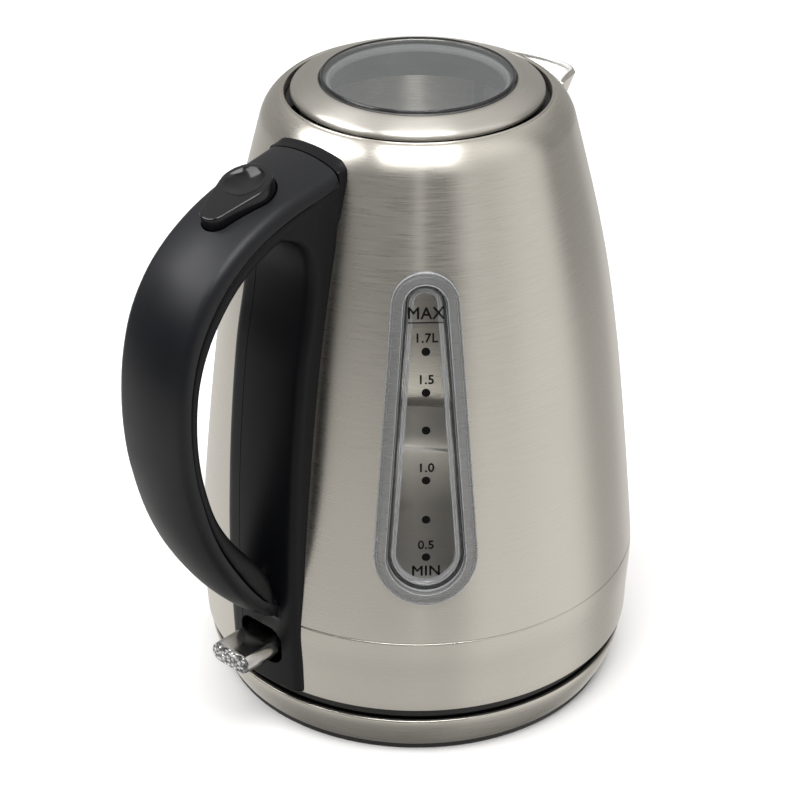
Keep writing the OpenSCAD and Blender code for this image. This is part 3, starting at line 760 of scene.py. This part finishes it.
def crown_plate(half, low, top, corner, ends):
    """A cutter with the cap's section, between two distances behind the axis."""
    section = crowned(half, low, top, CAP_SAG, corner)
    return loft("tool", [[(-back, y, h) for y, h in section] for back in ends])


def seam_tool():
    """A thin band round the crown, where the cap meets the shell."""
    band = crown_plate(18.5, 212.8, 221.8, CAP_CORNER, (55.25, 55.8))
    return cut(band, [crown_plate(15.8, 200, 218.6, 5.2, (54, 57))])


def build_handle_shell():
    outer = loft("handle_shell", handle_loops(handle_stations, True), sharp=28)
    cut(outer, [body_cutter(0.1), button_tool(0.55, -6.5, 9), block("tool", *LATCH_POCKET), seam_tool()], 28)
    place(outer, "jug", satin_black, "handle_plastic", "handle_outer")


def build_handle_moulding():
    """The handle's inner half, its spine and its cap, run into one another."""
    spine_rows = []
    for back, z in smooth(SPINE, 5):
        section = crowned(follow(SPINE_HALF, z), SPINE_FRONT, back, 1.8, 4.0)
        spine_rows.append([(-h, y, z) for y, h in section])
    spine_rows.append([(-SPINE_FRONT if x > -SPINE_FRONT else x + 3, y, 204.5) for x, y, z in spine_rows[-1]])
    cap_rows = []
    for back, top in smooth(CAP, 3):
        section = crowned(GRIP_HALF[0][1], 200, top, CAP_SAG, CAP_CORNER)
        cap_rows.append([(-back, y, h) for y, h in section])
    root = ((50, 221), (50, 203.4))
    parts = [loft("spine", spine_rows), slab("core", CORE, -CORE_HALF, CORE_HALF), loft("cap", cap_rows),
             loft("inner", handle_loops([root] + handle_stations, False))]
    body = join("handle_moulding", parts)
    blend = body.modifiers.new("blend", "REMESH")
    blend.mode = "VOXEL"
    blend.voxel_size = VOXEL * MM
    ease = body.modifiers.new("ease", "SMOOTH")
    ease.factor = 0.5
    ease.iterations = 22
    bake_modifiers(body, 60)
    recess = rounded([(-10, 31, 5.5), (10, 31, 5.5), (10, 46.6, 5.5), (-10, 46.6, 5.5)], 8)
    seam = smooth(SPINE[:9], 5)
    groove = [(b + 2, z) for b, z in seam] + [(b - GROOVE_DEEP, z) for b, z in reversed(seam)]
    cut(body, [body_cutter(0.12), prism("tool", recess, lambda y, z, x: (x, y, z), -100, -66),
               slab("tool", groove, *GROOVE_Y), seam_tool(),
               crown_plate(18, 213.9, 222.5, CAP_CORNER, (55.5, 60)), block("tool", *LATCH_CHANNEL)], 40)
    # The moulding takes the darker copy of the handle plastic: painted shade.
    place(body, "jug", moulding_shaded_black, "handle_plastic", "handle_inner", "handle_spine", "handle_cap")


# ---------------------------------------------------------------- release button

BUTTON_HEAD_R, BUTTON_TAIL_R, BUTTON_LONG = 9.4, 5.2, 14.2
DISH_R, DISH_DEEP = 7.2, 2.1
STEM_R = 1.9


def button_outline(grow, steps=26):
    """The button seen from above, head at the origin and tail towards -x."""
    head, tail = BUTTON_HEAD_R + grow, BUTTON_TAIL_R + grow
    lean = math.asin((BUTTON_HEAD_R - BUTTON_TAIL_R) / BUTTON_LONG)
    open_a = math.pi / 2 + lean
    close_a = math.pi - open_a
    outline = arc(head, -open_a, 2 * open_a, steps)
    outline += arc(tail, math.pi - close_a, 2 * close_a, 14, across=-BUTTON_LONG)
    out = []
    for i, (x, y) in enumerate(outline):
        u, v = outline[(i + 1) % len(outline)]
        count = max(1, round(math.hypot(u - x, v - y)))        # points about 1 mm apart, or closer
        out += [(x + (u - x) * k / count, y + (v - y) * k / count) for k in range(count)]
    return out


def button_place(x, y, h):
    """A point of the button, which leans with the crown."""
    return tuple(Matrix.Rotation(BUTTON_TILT, 3, "Y") @ Vector((x, y, h)) + BUTTON_AT)


def button_tool(grow, low, high):
    return prism("tool", button_outline(grow), button_place, low, high)


def button_top(x, y):
    """How high the button's gently arched top stands."""
    return 4.7 + 0.085 * min(x, 0) - 0.006 * y * y


def build_button():
    loops = [[button_place(x, y, -3.6) for x, y in button_outline(0)]]
    for grow, drop in ((0, 0.9), (-0.06, 0.45), (-0.25, 0.15), (-0.6, 0.0)):
        loops.append([button_place(x, y, button_top(x, y) - drop) for x, y in button_outline(grow)])
    edge = button_outline(-0.6)
    dish = [(DISH_R * math.cos(a), DISH_R * math.sin(a)) for a in [math.atan2(y, x) for x, y in edge]]
    for k in range(1, 8):
        ring = [(x + (u - x) * k / 7, y + (v - y) * k / 7) for (x, y), (u, v) in zip(edge, dish)]
        loops.append([button_place(x, y, button_top(x, y)) for x, y in ring])
    for k in range(1, 12):
        share = 1 - k / 11.5
        dip = DISH_DEEP * (1 - share ** 2) ** 0.8
        ring = [(u * share, v * share) for u, v in dish]
        loops.append([button_place(x, y, button_top(x, y) - dip) for x, y in ring])
    stem = [[button_place(x, y, h) for x, y in circle(STEM_R, 24)] for h in (-7.4, -3.4)]
    whole = soften(join("button_pad", [loft("button_pad", loops, sharp=18), loft("stem", stem)]), 18)
    place(whole, "release", gloss_black, "gloss_black", "release_button")


# ---------------------------------------------------------------- switch

LEVER_END = -96.5
LENS_END = LEVER_END - 0.5
LENS_WIDTH, LENS_HEIGHT, LENS_STEPS = 17.5, 7.1, 9
# The rings of the lens's facets, from its rim in: share of the rim's size, and reach past the lever's end
LENS_RINGS = ((0.78, 1.15), (0.5, 1.35), (0.22, 1.5))


def stadium(width, height, steps=10):
    """A flat outline with round ends."""
    r, reach = height / 2, (width - height) / 2
    right = arc(r, -math.pi / 2, math.pi, steps, across=reach)
    return right + [(-y, -h) for y, h in right]


def bar(name, rows, steps=10):
    """A bar along X from rows of (x, width, height)."""
    return loft(name, [[(x, y, SWITCH_Z + h) for y, h in stadium(w, t, steps)] for x, w, t in rows], sharp=30)


def take_end_off(obj):
    """Opens a bar at its outer end, where facets close it instead."""
    bm = bmesh.new()
    bm.from_mesh(obj.data)
    end = min(bm.faces, key=lambda face: face.calc_center_median().x)
    bmesh.ops.delete(bm, geom=[end], context="FACES_ONLY")
    bm.to_mesh(obj.data)
    bm.free()
    return obj


def lens_facets():
    """The lens's cut front: rings of uneven points, each behind every other point of its rim."""
    rim = stadium(LENS_WIDTH, LENS_HEIGHT, LENS_STEPS)
    points = [(LENS_END, y, SWITCH_Z + h) for y, h in rim]
    for ring, (share, reach) in enumerate(LENS_RINGS):
        for y, h in rim[ring % 2::2]:
            wobble = noise.noise(Vector((y * 1.7, h * 2.3, 5.0 + ring))) * 0.9
            points.append((LEVER_END - reach - wobble * 0.5, y * share, SWITCH_Z + h * share))
    half = len(rim) // 2
    rings = [[len(rim) + ring * half + k for k in range(half)] for ring in range(len(LENS_RINGS))]
    faces = [tuple(rings[-1])]
    for k in range(half):
        after = (k + 1) % half
        p, q = rings[0][k], rings[0][after]
        faces += [(2 * k, 2 * k + 1, p), (2 * k + 1, q, p), (2 * k + 1, 2 * after, q)]
        for low, high in zip(rings, rings[1:]):
            faces += [(low[k], low[after], high[k]), (low[after], high[after], high[k])]
    return make("facets", points, faces, 5)


def build_switch():
    lever = bar("lever_bar", [(LEVER_END, 17.0, 6.6), (LEVER_END + 0.35, 17.8, 7.4), (LEVER_END + 1, 18, 7.6),
                              (-90, 18, 7.6), (-80, 18, 7.6), (-76, 17.8, 7.4), (-74, 17, 6.4)])
    cut(lever, [bar("tool", [(LEVER_END - 1, 14.8, 4.8), (LEVER_END + 6, 14.8, 4.8)])], 30)
    place(lever, "switch", plating, "lever_plating", "switch_lever")
    body = bar("lens", [(LEVER_END + 4, 14.2, 4.3), (LEVER_END, 14.4, 4.5), (LEVER_END - 0.02, 17.3, 6.9),
                        (LENS_END, LENS_WIDTH, LENS_HEIGHT)], LENS_STEPS)
    lens = soften(join("lever_lens", [take_end_off(body), lens_facets()]), 5)
    place(lens, "switch", lens_clear, "clear_lens", "switch_lens")


# ---------------------------------------------------------------- lid


def build_lid():
    top = smooth([(34.3, 229.35), (36, 229.15), (38.6, 228.5), (41.2, 227.6), (42.8, 226.7), (43.5, 225.7),
                  (43.6, 224.5)], 5)
    edge = rounded([(34.3, 229.35, 0), (33.9, 229.2, 0.25), (33.85, 228.2, 0.2), (34.6, 228.4, 0)], 3)[1:]
    under = [(r - 0.35, z - 0.75) for r, z in top[2:-6]] + [(42.8, 225.4), (42.8, 224.4), (43.2, 224.3)]
    outline = top + under[::-1] + edge[::-1]
    place(lathe("lid_steel", outline, 256, 40), "lid", steel_lid, "brushed_steel", "lid_ring")
    pane = rounded([(0.01, 231.0, 0), (20, 230.9, 0), (31.2, 230.6, 4), (33.2, 230.1, 0.9),
                    (33.2, 226.4, 0.3), (31.7, 226.4, 0.3), (31.7, 228.6, 0.3), (0.01, 228.6, 0)], 6)
    place(lathe("lid_pane", pane, 192, 30), "lid", window_clear, "smoke_window", "lid_window")
    edge = rounded([(32.5, 230.1, 0.1), (32.9, 229.9, 0.1), (33.3, 229.4, 0.1), (33.35, 230.1, 0.3),
                    (33.0, 230.6, 0.3), (32.5, 230.7, 0.2)], 4)
    place(lathe("lid_pane_edge", edge, 192, 40), "lid", dark_edge, "smoke_window")
    sleeve = rounded([(29.7, 224.9, 0.3), (30.3, 224.9, 0.3), (31.4, 228.4, 0.2), (30.4, 228.5, 0.2)], 3)
    place(lathe("lid_sleeve", sleeve, 192, 40), "lid", sleeve_clear, "smoke_window", "lid_window_gasket")
    # A near-white thin ring at the sleeve's foot: a painted highlight line.
    foot = circle(0.2, 10, 29.95, 224.85)
    place(lathe("lid_sleeve_highlight", foot, 192, 60), "lid", painted_highlight_edge, "smoke_window")


# ---------------------------------------------------------------- build

build_shell()
build_spout()
build_vessel_floor()
build_bands()
build_gauge()
build_handle_shell()
build_handle_moulding()
build_button()
build_switch()
build_lid()

# ---------------------------------------------------------------- studio

FLOOR_HALF = 12.0
CAMERA_AT, CAMERA_AIM = Vector((-0.5831, -0.5343, 0.5551)), Vector((-0.0041, 0.0045, 0.1027))
# Patches of the room: direction, half width and softness in degrees, and brightness
WINDOW = (-76, 34, 9, 1)
WALL_LIGHTS = ((-136, 2, 2, 0.4), (-178, 12, 12, 0.1), (-45, 25, 20, 0.2), (50, 60, 35, 0.34))
TABLE_SHADE = (-12, 10, 14, 0.36)
# How bright the window is in the wall and in the table, and the plain wall, and the ceiling
WINDOW_GAIN, WINDOW_IN_TABLE, WALL_DIM, CEILING = 0.58, 0.1, 0.07, 0.42


def build_floor():
    corners = [(x * FLOOR_HALF, y * FLOOR_HALF, 0) for x, y in ((-1, -1), (1, -1), (1, 1), (-1, 1))]
    mesh = bpy.data.meshes.new("floor")
    mesh.from_pydata(corners, [], [(0, 1, 2, 3)])
    floor = bpy.data.objects.new("floor", mesh)
    bpy.context.scene.collection.objects.link(floor)
    f = Finish("pale_floor", (0.86, 0.86, 0.86), 0.6)
    f.vary_colour(f.noise(f.place(), 3.0), 0.995, 1.005)
    mesh.materials.append(f.material)
    floor.visible_glossy = False     # the room's own table is what the steel mirrors


def build_world():
    """A room with a bright window on the right, dimmer behind the camera, over a pale table."""
    world = bpy.data.worlds.new("room")
    bpy.context.scene.world = world
    world.use_nodes = True
    tree = world.node_tree
    background = tree.nodes["Background"]

    def add(kind, *links, operation=None):
        node = tree.nodes.new("ShaderNode" + kind)
        if operation:
            node.operation = operation
        for socket, link in zip(node.inputs, links):
            if isinstance(link, (int, float)):
                socket.default_value = link
            elif link is not None:
                tree.links.new(link, socket)
        return node.outputs[0]

    def ramp(value, start, end, low, high):
        node = tree.nodes.new("ShaderNodeMapRange")
        node.interpolation_type = "SMOOTHSTEP"
        for i, v in enumerate((start, end, low, high)):
            node.inputs[i + 1].default_value = v
        tree.links.new(value, node.inputs[0])
        return node.outputs[0]

    def plus(a, b):
        return add("Math", a, b, operation="ADD")

    def times(a, b):
        return add("Math", a, b, operation="MULTIPLY")

    def rest_of(share):
        return add("Math", 1, share, operation="SUBTRACT")

    def vector_node(operation, link, constant):
        node = tree.nodes.new("ShaderNodeVectorMath")
        node.operation = operation
        node.inputs[1].default_value = constant
        tree.links.new(link, node.inputs[0])
        return node.outputs

    towards = tree.nodes.new("ShaderNodeTexCoord").outputs["Generated"]
    level = vector_node("MULTIPLY", towards, (1, 1, 0))[0]
    flat = add("VectorMath", level, operation="NORMALIZE")
    height = add("SeparateXYZ", towards).node.outputs["Z"]

    def lobe(turn, half, soft, gain):
        """Brightness within half degrees of a direction, with a soft edge."""
        a = math.radians(turn)
        facing = vector_node("DOT_PRODUCT", flat, (math.cos(a), math.sin(a), 0))["Value"]
        edges = [math.cos(math.radians(a)) for a in (half + soft, max(half - soft, 0))]
        return ramp(facing, *edges, 0, gain)

    window = lobe(*WINDOW)
    walls = times(window, WINDOW_GAIN)
    for light in WALL_LIGHTS:
        walls = plus(walls, lobe(*light))
    walls = plus(walls, WALL_DIM)
    plain_table = times(ramp(height, -0.6, -0.9, 0.92, 0.2), rest_of(lobe(*TABLE_SHADE)))
    table = plus(times(window, WINDOW_IN_TABLE), plain_table)
    below = ramp(height, -0.14, -0.44, 0, 1)
    sides = plus(times(walls, rest_of(below)), times(table, below))
    ceiling = ramp(height, 0.3, 0.8, 0, CEILING)
    tree.links.new(plus(sides, ceiling), background.inputs["Strength"])
    background.inputs["Color"].default_value = (1.0, 0.985, 0.96, 1)


def area_light(name, where, aim, size, power):
    light = bpy.data.lights.new(name, "AREA")
    light.shape = "RECTANGLE"
    light.size, light.size_y = size
    light.energy = power
    obj = bpy.data.objects.new(name, light)
    obj.location = where
    obj.rotation_euler = (Vector(aim) - Vector(where)).to_track_quat("-Z", "Y").to_euler()
    bpy.context.scene.collection.objects.link(obj)
    return obj


def build_camera():
    camera = bpy.data.cameras.new("camera")
    camera.lens = 112.5
    camera.sensor_width = 36
    obj = bpy.data.objects.new("camera", camera)
    obj.location = CAMERA_AT
    obj.rotation_euler = (CAMERA_AIM - CAMERA_AT).to_track_quat("-Z", "Y").to_euler()
    bpy.context.scene.collection.objects.link(obj)
    bpy.context.scene.camera = obj


build_floor()
build_world()
area_light("top_box", (-0.39, -0.36, 1.3), (0, 0, 0.2), (0.85, 0.55), 13)
area_light("back_box", (-0.66, 0.56, 1.03), (0, 0, 0.2), (0.9, 0.6), 9.5)
area_light("fill_box", (0, 0, 2.0), (0, 0, 0), (2.0, 2.0), 14).visible_glossy = False
build_camera()
bpy.context.scene.view_settings.view_transform = "Standard"

bpy.context.view_layer.update()
